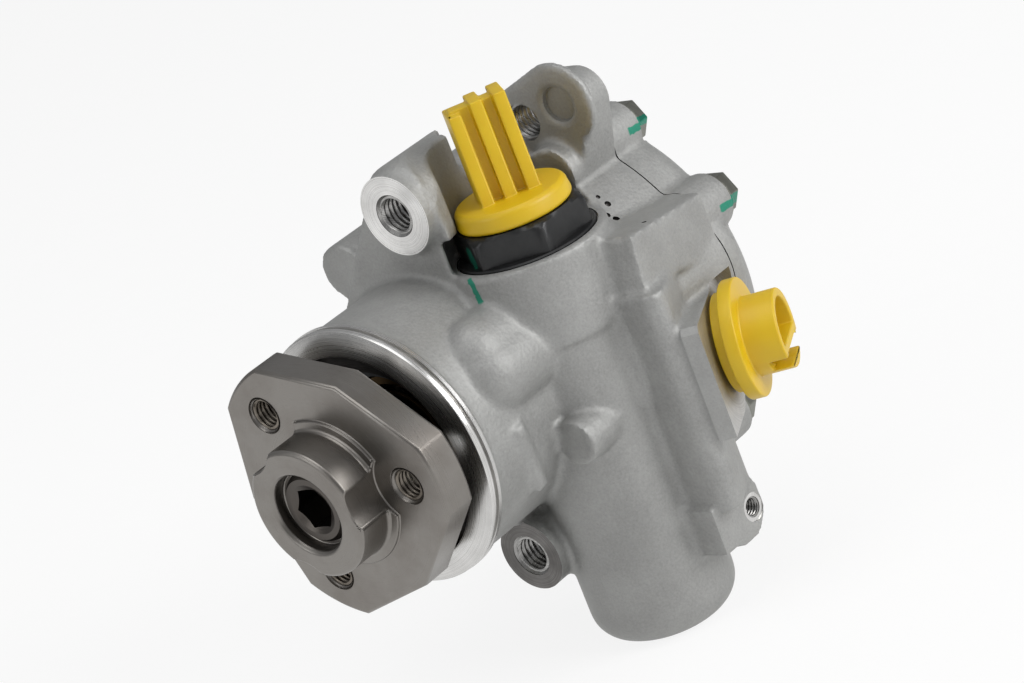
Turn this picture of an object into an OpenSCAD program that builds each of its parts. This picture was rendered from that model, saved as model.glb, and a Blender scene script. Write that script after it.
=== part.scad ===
// Power steering pump: a vane pump with drive flange, flow control valve and transport caps
// X points to the inlet side, Y along the shaft to the rear, Z up along the valve bore
// The origin is the centre of the pulley face on the drive flange

/* [Drive flange] */
// Pitch circle of the pulley bolts
pulley_pcd = 50; // [46:0.5:54]
// Tapping size of the pulley bolt holes
pulley_hole_d = 6.8; // [5:0.1:8]
// Diameter over the turned lobe tips
flange_d = 70; // [66:0.5:76]
// Distance from the axis to each lobe flat
flange_flat = 30; // [28:0.25:32]
// Thickness of the flange plate
flange_t = 9.5; // [7:0.5:12]
// Outer diameter of the nose
nose_d = 34; // [31:0.5:37]
// Length of the nose ahead of the pulley face
nose_l = 11; // [8:0.5:14]
// Radius of the scallops that clear the bolt heads
scallop_r = 10; // [8.5:0.25:11]
// Angle of the first lobe at rest, from X towards Z
flange_turn = 3.3; // [-30:0.1:30]
// Across-flats size of the hex socket in the shaft end
socket_af = 10; // [8:0.5:11]
// Depth of the hex socket
socket_depth = 9; // [5:0.5:14]
// Gap between the flange plate and the pilot spigot
flange_gap = 6.7; // [5:0.1:9]

/* [Shaft and bearing] */
// Bore of the ball bearing
bearing_bore = 20; // [18:0.5:22]
// Outer diameter of the ball bearing
bearing_od = 42; // [40:0.5:46]
// Width of the ball bearing
bearing_w = 12; // [10:0.5:14]
// Diameter of the bearing balls
ball_d = 6.35; // [5.5:0.05:7]
// Number of bearing balls
ball_count = 9; // [7:1:10]
// Depth of the bearing behind the spigot face
bearing_depth = 9; // [7:0.5:12]
// Thickness of the bearing circlip
circlip_t = 1.75; // [1.2:0.05:2.5]
// Outer diameter of the shaft seal
seal_d = 35; // [33:0.5:37]
// Width of the shaft seal
seal_w = 7; // [6:0.5:9]
// Diameter of the shaft where the seal and the bushes run
journal_d = 19; // [17:0.5:19.5]
// Length of the shaft bush
bush_l = 16; // [10:0.5:20]
// Wall of the plain bushes
bush_wall = 2.5; // [1.5:0.25:3.5]
// Diameter of the rear shaft journal
tail_d = 13; // [11:0.5:14]
// Number of spline teeth on the shaft
spline_teeth = 12; // [8:1:16]
// Outer diameter of the shaft spline
spline_d = 16.5; // [15:0.25:17.5]

/* [Pump body] */
// Diameter of the pilot spigot
spigot_d = 68.8; // [66:0.1:72]
// Width of the turned band behind the spigot face
spigot_w = 1.4; // [1:0.1:3]
// Diameter of the recess in the spigot face
recess_d = 58; // [54:0.5:60]
// Depth of the recess behind the outer edge of the face
recess_depth = 4.5; // [3:0.5:6]
// How far the inner edge of the face stands ahead of its outer edge
face_dish = 1.6; // [0.5:0.1:2.5]
// Diameter of the cast neck
neck_d = 67; // [64:0.5:70]
// Diameter of the main barrel
barrel_d = 94; // [90:0.5:98]
// Distance from the pulley face to the front of the barrel
barrel_y = 62; // [60:0.5:63]
// Radius of the fillet between neck and barrel
flare_r = 12; // [8:0.5:13]
// Distance from the pulley face to the floor of the cartridge bore
cavity_y = 76; // [75:0.5:78]
// Diameter of the cartridge bore
cavity_d = 66; // [64:0.5:67]

/* [Front mounting] */
// Sideways place of both front mounting holes
mount_x = 9; // [7:0.5:11]
// Distance between the two front mounting holes
mount_pitch = 94; // [92:0.5:97]
// Height of the upper front mounting hole
mount_top_z = 51.5; // [50:0.5:53]
// Distance from the pulley face to the spotfaces
mount_y = 42; // [40:0.5:44]
// Tapping size of the mounting holes
mount_hole_d = 8.5; // [7:0.1:9.5]
// Depth of the front mounting holes
mount_depth = 12; // [10:0.5:14]
// Diameter of the upper spotface boss
boss_top_d = 21; // [19:0.5:23]
// Diameter of the lower boss
boss_low_d = 19; // [17:0.5:21]

/* [Rear ear and side lug] */
// Length of the rear ear ahead of the cover joint
ear_l = 12; // [10:0.5:14]
// Centre of the tapped hole in the ear, X and Z
ear_hole = [14.8, 54];
// Centre of the cast dimple in the ear, X and Z
ear_dimple = [27.4, 57.4];
// Distance from the shaft plane to the face of the side lug
side_x = 54; // [52:0.5:56]
// Centre of the tapped hole in the side lug, Y and Z
side_hole = [75.6, -48];
// Tapping size of the side lug hole
side_hole_d = 5; // [4:0.1:6]

/* [Valve] */
// Sideways place of the valve bore
valve_x = 26; // [25:0.25:27]
// Wall between the union thread and the cartridge bore
valve_wall = 0.9; // [0.6:0.1:1.5]
// Outer diameter of the valve housing
valve_d = 38; // [36.5:0.25:39]
// Diameter of the collar at the top of the valve housing
collar_d = 40.6; // [39.5:0.25:42]
// Height of the machined top face
valve_top = 32; // [30:0.5:34]
// Height of the lower edge of the collar
collar_z = 11; // [8:0.5:14]
// Height of the closed lower end
valve_bottom = -72; // [-76:0.5:-71]
// Diameter of the spool bore
spool_d = 17; // [15:0.25:18]
// Length of the spool
spool_l = 33; // [30:0.5:34]
// Length of the flow spring at rest
spring_l = 39; // [36:0.5:40]
// Wire diameter of the flow spring
spring_wire = 1.6; // [1.2:0.1:2]
// Number of turns of the flow spring
spring_turns = 8; // [6:1:10]
// Across-flats size of the union hex
union_af = 30; // [27:0.5:32]
// Height of the union hex
union_h = 9; // [7:0.5:12]
// Diameter of the round flange under the union hex
union_flange_d = 38.6; // [35:0.1:39]
// Thickness of the flange under the union hex
union_flange_t = 1.6; // [1:0.1:3]
// Thread diameter of the union in the body
union_thread_d = 23; // [21:0.5:24]
// Length of the union thread in the body
union_thread_l = 14; // [10:0.5:16]
// Diameter of the outlet port in the union
outlet_d = 14.5; // [12:0.25:16]
// Depth of the outlet port
outlet_depth = 15; // [12:0.5:17]

/* [Inlet] */
// Distance from the shaft plane to the centre of the inlet port
inlet_x = 55.5; // [54:0.25:57]
// Distance from the inlet port to the cover joint
inlet_set = 15.6; // [14:0.2:17]
// Height of the inlet port
inlet_z = -7.4; // [-9:0.2:-6]
// Turn of the inlet port from X towards the rear
inlet_turn = 28; // [24:0.5:32]
// Diameter of the inlet port
inlet_d = 18; // [15:0.25:20]
// Depth of the inlet port
inlet_depth = 16; // [14:0.5:18]
// Height of the machined pad over the suction block
pad_proud = 5; // [3:0.25:6]

/* [Transport caps] */
// Diameter of the flange of the outlet cap
cap_d = 29.5; // [27:0.5:31]
// Thickness of the flange of the outlet cap
cap_t = 5; // [4:0.25:6]
// Height of the grip of the outlet cap
grip_h = 25; // [18:0.5:30]
// Diameter of the flange of the inlet plug
plug_d = 30; // [27:0.5:31]
// Thickness of the flange of the inlet plug
plug_t = 3.6; // [2.5:0.1:5]
// Length of the hub of the inlet plug
hub_l = 9; // [7:0.5:12]

/* [Cartridge] */
// Thickness of the front pressure plate
front_plate_t = 6; // [5:0.25:7]
// Width of the cam ring
cam_w = 14; // [12:0.5:16]
// Thickness of the rear pressure plate
rear_plate_t = 4; // [3:0.25:5]
// Smallest bore of the cam ring
cam_minor_d = 40; // [38:0.5:41]
// Rise of the two cam lobes
cam_rise = 2.4; // [1:0.1:3]
// Number of vanes
vane_count = 10; // [8:1:10]
// Thickness of a vane
vane_t = 1.6; // [1.2:0.1:2]
// Length of a vane along the radius
vane_l = 7; // [5:0.25:8]
// Diameter of the dowel pins
dowel_d = 4; // [3:0.25:5]

/* [Rear cover] */
// Length of the cover behind the joint
cover_l = 16; // [14:0.5:20]
// Length of the bolt bosses behind the joint
cover_boss_l = 11.5; // [10:0.5:13]
// Radius of the circle of the cover bolts
bolt_circle_r = 46.2; // [45.6:0.2:47]
// Diameter of the cover bolts
bolt_d = 6; // [5:0.5:8]
// Across-flats size of the bolt heads
bolt_af = 10; // [8:0.5:13]
// Height of the bolt heads
bolt_head_h = 5.5; // [4:0.25:7]
// Depth of the bolts in the body
bolt_depth = 14; // [11:0.5:16]
// Radius of the bolt lugs
lug_r = 7.5; // [7:0.25:8.5]

/* [Fits] */
// Radial clearance where a piece turns or slides
run_clear = 0.05; // [0.02:0.01:0.1]
// Radial clearance of bolts in their holes
bolt_clear = 0.4; // [0.2:0.05:0.6]
// Side clearance of the rotor and vanes
side_clear = 0.03; // [0.02:0.01:0.1]
// Radial gap between the cam ring and the cartridge bore
cam_gap = 1; // [0.5:0.1:2]

/* [Hidden] */
$fn = 64;
tiny = 0.01;
chamfer = 0.8;
flange_r = flange_d / 2;
lobe_split = 14;
shaft_step = 1;
hub_gap = 2;
shaft_r = bearing_bore / 2 - shaft_step;
shaft_set = 2.5;
shaft_front = -nose_l + shaft_set;
spigot_y = flange_t + flange_gap;
spigot_groove_w = 0.7;
spigot_lip_w = 1.2;
spigot_groove_t = 0.7;
spigot_lip_t = 0.3;
face_y = spigot_y - face_dish;
spigot_end = spigot_y + spigot_w + spigot_groove_w + spigot_lip_w;
bearing_y = spigot_y + bearing_depth;
bearing_end = bearing_y + bearing_w;
pitch_r = (bearing_bore + bearing_od) / 4;
race_gap = ball_d / 3;
shaft_collar_t = 2;
circlip_groove = 1.2;
recess_edge = 0.4;
seal_gap = 0.5;
seal_y = bearing_end + shaft_collar_t + seal_gap;
journal_r = journal_d / 2;
bush_set = 1;
bush_end = cavity_y - bush_set;
bush_r = journal_r + bush_wall;
cam_y = cavity_y + front_plate_t;
cam_end = cam_y + cam_w;
cam_d = cavity_d - 2 * cam_gap;
clip_y = cam_end + 0.3;
clip_w = 1.2;
joint_y = cam_end + rear_plate_t;
cover_end = joint_y + cover_l;
ear_y = joint_y - ear_l;
valve_at = [valve_x, cavity_y - union_thread_d / 2 - valve_wall];
inlet_at = [inlet_x, joint_y - inlet_set, inlet_z];
barrel_r = barrel_d / 2;
spline_r = spline_d / 2;
spline_depth = 1.2;
clip_groove_t = 0.3;
clip_groove_r = spline_r - spline_depth - clip_groove_t;
tail_r = tail_d / 2;
tail_gap = 2.5;
tail_y = cam_end + tail_gap;
tail_l = 10;
tail_end = joint_y + bush_set + tail_l;
mount_top = [mount_x, mount_top_z];
mount_low = [mount_x, mount_top_z - mount_pitch];
ridge_at = [4.5, 46.5];
ridge_r = 8;
bolt_angles = [24.4, 62, 139, 215, 300];
lug_runs = [20, 18, 42, 34, 30];
bulge_at = [33, 6.5];
bulge_r = 19.5;
bulge_run = 20;
bulge_l = 5;
inlet_dir = [cos(inlet_turn), sin(inlet_turn)];
inlet_xy = [inlet_at[0], inlet_at[1]];
block_lap = 0.6;
block_front = valve_at[1] - block_lap;
block_corner_r = 4;
block_top = 16;
block_bottom = -43;
block_s = inlet_xy * inlet_dir - pad_proud;
corner_y = block_front + block_corner_r;
corner_x = (block_s - block_corner_r - corner_y * inlet_dir[1]) / inlet_dir[0];
block_rear_set = 5;
block_rear = joint_y - block_rear_set;
block_step = -30;
low_rear_set = 20;
low_rear = joint_y - low_rear_set;
pad_left = 17.8;
pad_right = 13.5;
pad_top = 12.6;
pad_low = 17.1;
spool_r = spool_d / 2;
spot_clear = 2.28;
spot_h = 60;
spot_rim = 0.5;
union_stem_end = 8;
spool_gap = 0.1;
spool_top = union_stem_end - spool_gap;
spool_bottom = spool_top - spool_l;
bore_floor = spool_bottom - spring_l;
relief_r = 3.5;
relief_l = 21;
seat_l = 8;
relief_ball_r = 2;
orifice_r = 1;
ball_gap = 0.02;
seat_top = spool_bottom + seat_l;
relief_ball_z = seat_top + sqrt(pow(relief_ball_r + ball_gap, 2) - pow(orifice_r, 2));
guide_gap = 1.2;
guide_z = relief_ball_z + guide_gap;
guide_t = 3;
relief_spring_l = spool_bottom + relief_l - guide_z - guide_t;
union_top = valve_top + union_h;
washer_t = 1.5;
stem_set = 2.5;
cap_gap = 0.1;
cap_z = union_top + cap_gap;
cap_stem_l = 10;
plug_stem_l = 11;
plug_stand = 3.5;
vane_tip_r = cam_minor_d / 2 - run_clear;
rotor_gap = 0.6;
rotor_r = cam_minor_d / 2 - rotor_gap;
slot_clear = 0.03;
slot_run = 1.8;
slot_root_r = vane_tip_r - vane_l - slot_run;
o_ring_d = 2.6;
plate_ring_r = 1;
plate_ring_set = 2.9;
cover_ring_set = 3;
cover_ring_r = cavity_d / 2 + cover_ring_set;
VANES = [for (i = [1:vane_count]) str("vane_", i)];

// Point on a circle about the shaft, in x and z
function polar(r, a) = [r * cos(a), r * sin(a)];

// Plan in x and z, raised along y
module along_y(y0, y1) {
    translate([0, y1, 0])
        rotate([90, 0, 0])
            linear_extrude(y1 - y0)
                children();
}

// Outline in radius and y, turned about the shaft
module turned() {
    rotate([-90, 0, 0])
        rotate_extrude()
            children();
}

// Round bar along y at a place in x and z
module rod_y(at, r, y0, y1) {
    translate([at[0], y0, at[1]])
        rotate([-90, 0, 0])
            cylinder(r = r, h = y1 - y0);
}

// Ring about the shaft
module ring_y(r_in, r_out, y0, y1) {
    turned()
        translate([r_in, y0])
            square([r_out - r_in, y1 - y0]);
}

// Frame on a side face: local x runs along the face, local y is up, local z points out
module on_side(at, turn) {
    translate(at)
        rotate([0, 0, turn])
            rotate([90, 0, 90])
                children();
}

// Two circles joined by their outer tangents
module strap(a, ra, b, rb) {
    reach = norm(b - a);
    heading = atan2(b[1] - a[1], b[0] - a[0]);
    lean = acos((ra - rb) / reach);
    translate(a)
        circle(ra);
    translate(b)
        circle(rb);
    polygon([a + polar(ra, heading + lean), b + polar(rb, heading + lean),
        b + polar(rb, heading - lean), a + polar(ra, heading - lean)]);
}

// Coil of round wire along z, between two heights
module coil(mean_r, wire_d, turns, z0, z1) {
    steps = turns * 16;
    sides = 8;
    rise = (z1 - z0 - wire_d) / steps;
    points = [for (i = [0:steps], k = [0:sides - 1])
        let (a = i * 360 / 16, w = k * 360 / sides, r = mean_r + wire_d / 2 * cos(w))
        [r * cos(a), r * sin(a), z0 + wire_d / 2 + i * rise + wire_d / 2 * sin(w)]];
    walls = [for (i = [0:steps - 1], k = [0:sides - 1])
        let (j = (k + 1) % sides)
        [i * sides + j, (i + 1) * sides + j, (i + 1) * sides + k, i * sides + k]];
    first = [for (k = [sides - 1:-1:0]) k];
    last = [for (k = [0:sides - 1]) steps * sides + k];
    polyhedron(points, concat([first, last], walls), convexity = 10);
}

// Outline of the joint between body and cover
module joint_outline() {
    circle(barrel_r);
    translate(bulge_at)
        circle(bulge_r);
}

// Lug around one cover bolt, drawn out to the barrel
module bolt_lug(a) {
    rotate(a) {
        translate([bolt_circle_r, 0])
            circle(lug_r);
        translate([0, -lug_r])
            square([bolt_circle_r, 2 * lug_r]);
    }
}

// Pilot spigot, groove, lip, neck and flare into the barrel
module neck_and_barrel() {
    r = spigot_d / 2;
    neck_r = neck_d / 2;
    turned() {
        polygon([[0, face_y], [recess_d / 2, face_y], [r, spigot_y], [r, spigot_y + spigot_w],
            [r - spigot_groove_t, spigot_y + spigot_w], [r - spigot_groove_t, spigot_end - spigot_lip_w],
            [r + spigot_lip_t, spigot_end - spigot_lip_w], [r + spigot_lip_t, spigot_end],
            [neck_r, spigot_end], [neck_r, barrel_y], [barrel_r, barrel_y],
            [barrel_r, joint_y], [0, joint_y]]);
        difference() {
            translate([0, barrel_y - flare_r])
                square([neck_r + flare_r, flare_r]);
            translate([neck_r + flare_r, barrel_y - flare_r])
                circle(flare_r);
        }
    }
}

// Front bosses with their walls to the neck
module front_bosses() {
    top_wall_set = 3.5;
    low_wall_set = 7.5;
    top_sink = 4;
    low_sink = 8;
    wall_sink = 6;
    top_flank = 1;
    low_flank = 0.4;
    top_foot = [0, 4];
    low_foot = [6, -10];
    low_foot_set = 6;
    ridge_lead = 2;
    ridge_w = 12;
    rod_y(mount_top, boss_top_d / 2, mount_y, barrel_y + top_sink);
    rod_y(mount_low, boss_low_d / 2, mount_y, barrel_y + low_sink);
    along_y(mount_y + top_wall_set, barrel_y + wall_sink)
        strap(mount_top, boss_top_d / 2 + top_flank, top_foot, neck_d / 2);
    along_y(mount_y + low_wall_set, barrel_y + wall_sink)
        strap(mount_low, boss_low_d / 2 - low_flank, low_foot, neck_d / 2 - low_foot_set);
    along_y(barrel_y - ridge_lead, ear_y + tiny) {
        translate(ridge_at)
            circle(ridge_r);
        translate([ridge_at[0] - ridge_w / 2, 0])
            square([ridge_w, ridge_at[1]]);
    }
}

// Rear ear with its webs to the barrel and to the first lug
module rear_ear() {
    hole_rim_r = 9.3;
    dimple_rim_r = 10.8;
    rim_t = 2.5;
    web_r = 9;
    back_r = 7.5;
    back = ear_dimple - [1, 2];
    left_root = [4, 30];
    left_root_r = 16;
    right_root = [12, 34];
    right_root_r = 14;
    lug = polar(bolt_circle_r, bolt_angles[1]);
    along_y(ear_y, ear_y + rim_t)
        strap(ear_hole, hole_rim_r, ear_dimple, dimple_rim_r);
    along_y(ear_y, joint_y) {
        strap(ear_hole, web_r, back, back_r);
        strap(ear_hole, hole_rim_r, left_root, left_root_r);
        strap(back, back_r, lug, lug_r);
        strap(back, back_r, right_root, right_root_r);
    }
}

// Closed valve housing with a wider collar on top
module valve_housing() {
    r = valve_d / 2;
    end_r = 8;
    translate([valve_at[0], valve_at[1], 0])
        rotate_extrude() {
            translate([0, collar_z])
                square([collar_d / 2, valve_top + spot_rim - collar_z]);
            translate([0, valve_bottom + end_r])
                square([r, collar_z - valve_bottom - end_r]);
            translate([0, valve_bottom])
                square([r - end_r, end_r]);
            intersection() {
                translate([r - end_r, valve_bottom + end_r])
                    circle(end_r);
                translate([0, valve_bottom])
                    square([r, end_r]);
            }
        }
}

// One level of the suction block: front wall, round corner and slanted wall
module block_level(z0, z1, rear) {
    corner = [corner_x, corner_y];
    rear_x = (block_s - rear * inlet_dir[1]) / inlet_dir[0];
    translate([0, 0, z0])
        linear_extrude(z1 - z0) {
            translate(corner)
                circle(block_corner_r);
            polygon([[valve_at[0], block_front], [corner_x, block_front], corner,
                corner + block_corner_r * inlet_dir, [rear_x, rear], [valve_at[0], rear]]);
        }
}

// Suction block behind the valve housing, shorter at the bottom
module suction_block() {
    block_level(block_bottom, block_step, low_rear);
    block_level(block_step - tiny, block_top, block_rear);
}

// Machined pad around the inlet port
module inlet_pad() {
    sink = 6;
    slant_x = 3;
    slant_y = 10;
    nip = 1.5;
    on_side(inlet_at, inlet_turn)
        translate([0, 0, -pad_proud - sink])
            linear_extrude(pad_proud + sink)
                polygon([[-pad_left, -pad_low], [-slant_x, -pad_low], [pad_right, -slant_y],
                    [pad_right, pad_top], [nip - pad_left, pad_top], [-pad_left, pad_top - nip]]);
}

// Side lug below the suction block, with its flat front and round end
module side_lug() {
    lug_front = 61;
    lug_size = [10, 13];
    lug_drop = 5.8;
    end_r = 8.8;
    end_at = side_hole - [4.5, -1.5];
    on_side([valve_at[0], 0, 0], 0)
        linear_extrude(side_x - valve_at[0]) {
            translate(end_at)
                circle(end_r);
            translate([lug_front, side_hole[1] - lug_drop])
                square(lug_size);
        }
}

// Rounded gallery boss between neck and valve housing
module gallery_boss() {
    front = 35.5;
    sink = 5;
    low_at = [26.8, 11.5];
    low_r = 10.5;
    high_at = [25, 17];
    high_r = 9;
    for (lump = [[low_at, low_r], [high_at, high_r]]) {
        rod_y(lump[0], lump[1], front, barrel_y + sink);
        translate([lump[0][0], front, lump[0][1]])
            sphere(lump[1]);
    }
}

// Small round boss on the front of the valve housing
module datum_boss() {
    boss_at = [37.3, -11.9];
    boss_r = 6;
    boss_y = 43;
    rod_y(boss_at, boss_r, boss_y, valve_at[1]);
}

// Rectangular rib that falls from its front face to the first cover bolt
module lug_rib() {
    rib_x = 36;
    rib_w = 19.4;
    rib_h = 14.5;
    fall = 7.5;
    yaw = 8;
    lead = 5;
    intersection() {
        translate([rib_x, block_front, block_top])
            rotate([-fall, 0, yaw])
                cube([rib_w, joint_y, rib_h]);
        along_y(block_front - lead, joint_y)
            circle(barrel_d);
    }
}

// Small fin down the neck beside the gallery boss
module neck_fin() {
    top = [33, 30.8, 0];
    foot = [28.2, 35.6, -19];
    fin_r = 2.4;
    run = foot - top;
    translate(top)
        rotate([0, acos(run[2] / norm(run)), atan2(run[1], run[0])])
            cylinder(r = fin_r, h = norm(run));
}

// Cast outside of the pump body
module body_casting() {
    neck_and_barrel();
    front_bosses();
    rear_ear();
    valve_housing();
    suction_block();
    inlet_pad();
    side_lug();
    gallery_boss();
    datum_boss();
    lug_rib();
    neck_fin();
    along_y(joint_y - bulge_run, joint_y)
        translate(bulge_at)
            circle(bulge_r);
    for (i = [0:len(bolt_angles) - 1])
        along_y(joint_y - lug_runs[i], joint_y)
            bolt_lug(bolt_angles[i]);
}

// Bores for shaft, bearing, seal, bush and cartridge
module shaft_bores() {
    bearing_r = bearing_od / 2;
    shaft_room = 1.5;
    ring_y(0, recess_d / 2 - recess_edge, face_y - 1, spigot_y + recess_depth);
    ring_y(0, bearing_r, spigot_y, bearing_end);
    ring_y(0, bearing_r + circlip_groove, bearing_y - circlip_t - run_clear, bearing_y);
    ring_y(0, seal_d / 2, bearing_end - tiny, seal_y + seal_w);
    ring_y(0, journal_r + shaft_room, seal_y, cavity_y + tiny);
    ring_y(0, bush_r, bush_end - bush_l, bush_end);
    ring_y(0, cavity_d / 2, cavity_y, joint_y + tiny);
}

// Bores of the valve with the union thread
module valve_bores() {
    translate([valve_at[0], valve_at[1], bore_floor])
        cylinder(r = spool_r, h = valve_top - bore_floor);
    translate([valve_at[0], valve_at[1], valve_top - union_thread_l])
        cylinder(d = union_thread_d, h = union_thread_l + tiny);
    translate([valve_at[0], valve_at[1], valve_top])
        cylinder(r = union_af / 2 / cos(30) + spot_clear, h = spot_h);
}

// Inlet port and the passages between inlet, valve and cartridge
module passages() {
    reach = 30;
    throat_set = 5;
    duct_at = [valve_at[0] - 2, -2];
    duct_r = 3;
    on_side(inlet_at, inlet_turn) {
        translate([0, 0, -inlet_depth])
            cylinder(d = inlet_d, h = inlet_depth + tiny);
        translate([0, 0, -reach])
            cylinder(d = inlet_d - throat_set, h = reach);
    }
    rod_y(duct_at, duct_r, valve_at[1], cavity_y + 1);
}

// Tapped holes at their tapping size
module body_holes() {
    dimple_r = 6;
    dimple_depth = 1.5;
    side_depth = 12;
    bolt_room = 2;
    for (at = [mount_top, mount_low])
        rod_y(at, mount_hole_d / 2, mount_y - tiny, mount_y + mount_depth);
    rod_y(ear_hole, mount_hole_d / 2, ear_y - tiny, joint_y + tiny);
    rod_y(ear_dimple, dimple_r, ear_y - tiny, ear_y + dimple_depth);
    on_side([side_x, side_hole[0], side_hole[1]], 0)
        translate([0, 0, -side_depth])
            cylinder(d = side_hole_d, h = side_depth + tiny);
    for (a = bolt_angles)
        rod_y(polar(bolt_circle_r, a), bolt_d / 2, joint_y - bolt_depth - bolt_room, joint_y + tiny);
}

module pump_body() {
    color("#9b9b99")
        difference() {
            body_casting();
            shaft_bores();
            valve_bores();
            passages();
            body_holes();
        }
}

module rear_cover() {
    round_r = 8;
    hub_wall = 6;
    hub_h = 2;
    ring_room = 0.2;
    spot_room = 0.5;
    color("#a3a3a0")
        difference() {
            union() {
                turned() {
                    translate([0, joint_y])
                        square([barrel_r, cover_l - round_r]);
                    translate([0, cover_end - round_r])
                        square([barrel_r - round_r, round_r]);
                    intersection() {
                        translate([barrel_r - round_r, cover_end - round_r])
                            circle(round_r);
                        translate([0, cover_end - round_r])
                            square([barrel_r, round_r]);
                    }
                }
                along_y(joint_y, joint_y + bulge_l)
                    translate(bulge_at)
                        circle(bulge_r);
                for (a = bolt_angles)
                    along_y(joint_y, joint_y + cover_boss_l)
                        bolt_lug(a);
                ring_y(0, tail_r + bush_wall + hub_wall, cover_end - 1, cover_end + hub_h);
            }
            ring_y(0, tail_r + bush_wall, joint_y - tiny, tail_end + 1);
            ring_y(cover_ring_r - o_ring_d / 2 - ring_room, cover_ring_r + o_ring_d / 2 + ring_room,
                joint_y - tiny, joint_y + o_ring_d);
            for (a = bolt_angles) {
                rod_y(polar(bolt_circle_r, a), bolt_d / 2 + bolt_clear, joint_y - tiny,
                    joint_y + cover_boss_l + tiny);
                rod_y(polar(bolt_circle_r, a), lug_r + spot_room, joint_y + cover_boss_l,
                    cover_end + hub_h + 1);
            }
        }
}

module cover_bolts() {
    washer_set = 0.6;
    washer_h = 1.2;
    washer_lap = 0.2;
    color("#4a4c48")
        for (a = bolt_angles)
            translate([polar(bolt_circle_r, a)[0], joint_y, polar(bolt_circle_r, a)[1]])
                rotate([-90, 0, 0]) {
                    translate([0, 0, -bolt_depth])
                        cylinder(d = bolt_d - 2 * tiny, h = bolt_depth + cover_boss_l);
                    translate([0, 0, cover_boss_l])
                        cylinder(r = lug_r - washer_set, h = washer_h);
                    translate([0, 0, cover_boss_l + washer_h - washer_lap])
                        cylinder(d = bolt_af / cos(30), h = bolt_head_h - washer_h + washer_lap, $fn = 6);
                }
}

module cover_o_ring() {
    color("#1c1c1e")
        turned()
            translate([cover_ring_r, joint_y + o_ring_d / 2])
                circle(o_ring_d / 2 - tiny, $fn = 24);
}

// Three-lobed plan of the flange plate: two turned triangles trimmed by the tip circle
module flange_plan() {
    intersection() {
        circle(flange_r);
        rotate(flange_turn - lobe_split)
            circle(2 * flange_flat, $fn = 3);
        rotate(flange_turn + lobe_split)
            circle(2 * flange_flat, $fn = 3);
    }
}

module drive_flange() {
    bore_r = shaft_r;
    mouth_r = bore_r + 1.2;
    base_r = nose_d / 2 + 2.5;
    hub_r = shaft_r + 6;
    hub_end = bearing_y - circlip_t - hub_gap;
    mouth_room = 1.5;
    color("#8d8880")
        difference() {
            union() {
                along_y(0, flange_t)
                    flange_plan();
                ring_y(0, nose_d / 2, -nose_l, tiny);
                ring_y(0, base_r, -chamfer, tiny);
                ring_y(0, hub_r, flange_t - tiny, hub_end);
            }
            for (k = [0:2]) {
                at = polar(pulley_pcd / 2, flange_turn + 120 * k);
                rod_y(at, scallop_r, -nose_l - 1, 0);
                rod_y(at, pulley_hole_d / 2, -1, flange_t + 1);
            }
            ring_y(0, bore_r, -nose_l - 1, bearing_y);
            turned()
                polygon([[0, -nose_l - tiny], [mouth_r + chamfer, -nose_l - tiny],
                    [mouth_r, -nose_l + chamfer], [mouth_r, shaft_front + mouth_room],
                    [0, shaft_front + mouth_room]]);
        }
}

// Spline teeth around a core, as a plan
module spline_plan(grow) {
    tooth_w = 2.2;
    circle(spline_r - spline_depth + grow);
    intersection() {
        circle(spline_r + grow);
        for (k = [0:spline_teeth - 1])
            rotate(k * 360 / spline_teeth)
                translate([0, -tooth_w / 2 - grow])
                    square([spline_r + 1, tooth_w + 2 * grow]);
    }
}

module drive_shaft() {
    seat_end = bearing_y - circlip_t - hub_gap;
    hex_r = socket_af / 2 / cos(30);
    collar_r = bearing_bore / 2 + 2;
    spline_y = cam_y - 1;
    lead_in = 0.9;
    lead_l = 3.6;
    color("#7f7d78")
        difference() {
            union() {
                turned()
                    polygon([[0, shaft_front], [shaft_r - chamfer, shaft_front],
                        [shaft_r, shaft_front + chamfer], [shaft_r, seat_end],
                        [bearing_bore / 2, seat_end], [bearing_bore / 2, bearing_end],
                        [collar_r, bearing_end], [collar_r, bearing_end + shaft_collar_t],
                        [journal_r, bearing_end + shaft_collar_t], [journal_r, spline_y], [0, spline_y]]);
                along_y(spline_y - tiny, tail_y)
                    spline_plan(0);
                ring_y(0, tail_r, tail_y - tiny, tail_end);
            }
            along_y(shaft_front - tiny, shaft_front + socket_depth)
                rotate(flange_turn)
                    circle(hex_r, $fn = 6);
            turned()
                polygon([[0, shaft_front - tiny], [hex_r + lead_in, shaft_front - tiny],
                    [0, shaft_front + lead_l]]);
            ring_y(clip_groove_r, spline_r + 1, clip_y, clip_y + clip_w);
        }
}

// Grooved raceway left by the balls
module raceway() {
    turned()
        translate([pitch_r, bearing_y + bearing_w / 2])
            circle(ball_d / 2 + run_clear, $fn = 32);
}

module bearing_outer_ring() {
    color("#b5b6b4")
        difference() {
            ring_y(pitch_r + race_gap, bearing_od / 2 - tiny, bearing_y + tiny, bearing_end - tiny);
            raceway();
        }
}

module bearing_inner_ring() {
    color("#b5b6b4")
        difference() {
            ring_y(bearing_bore / 2 + tiny, pitch_r - race_gap, bearing_y, bearing_end - tiny);
            raceway();
        }
}

// Places of the balls around the bearing
module each_ball() {
    for (k = [0:ball_count - 1])
        rotate([0, k * 360 / ball_count, 0])
            translate([pitch_r, bearing_y + bearing_w / 2, 0])
                children();
}

module bearing_balls() {
    color("#c8c9c8")
        each_ball()
            sphere(d = ball_d, $fn = 32);
}

module bearing_cage() {
    half = 1.1;
    inset = 1.8;
    pocket_room = 0.2;
    color("#9c7f45")
        difference() {
            ring_y(pitch_r - half, pitch_r + half, bearing_y + inset, bearing_end - inset);
            each_ball()
                rotate([0, 90, 0])
                    cylinder(d = ball_d + pocket_room, h = ball_d, center = true);
        }
}

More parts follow.
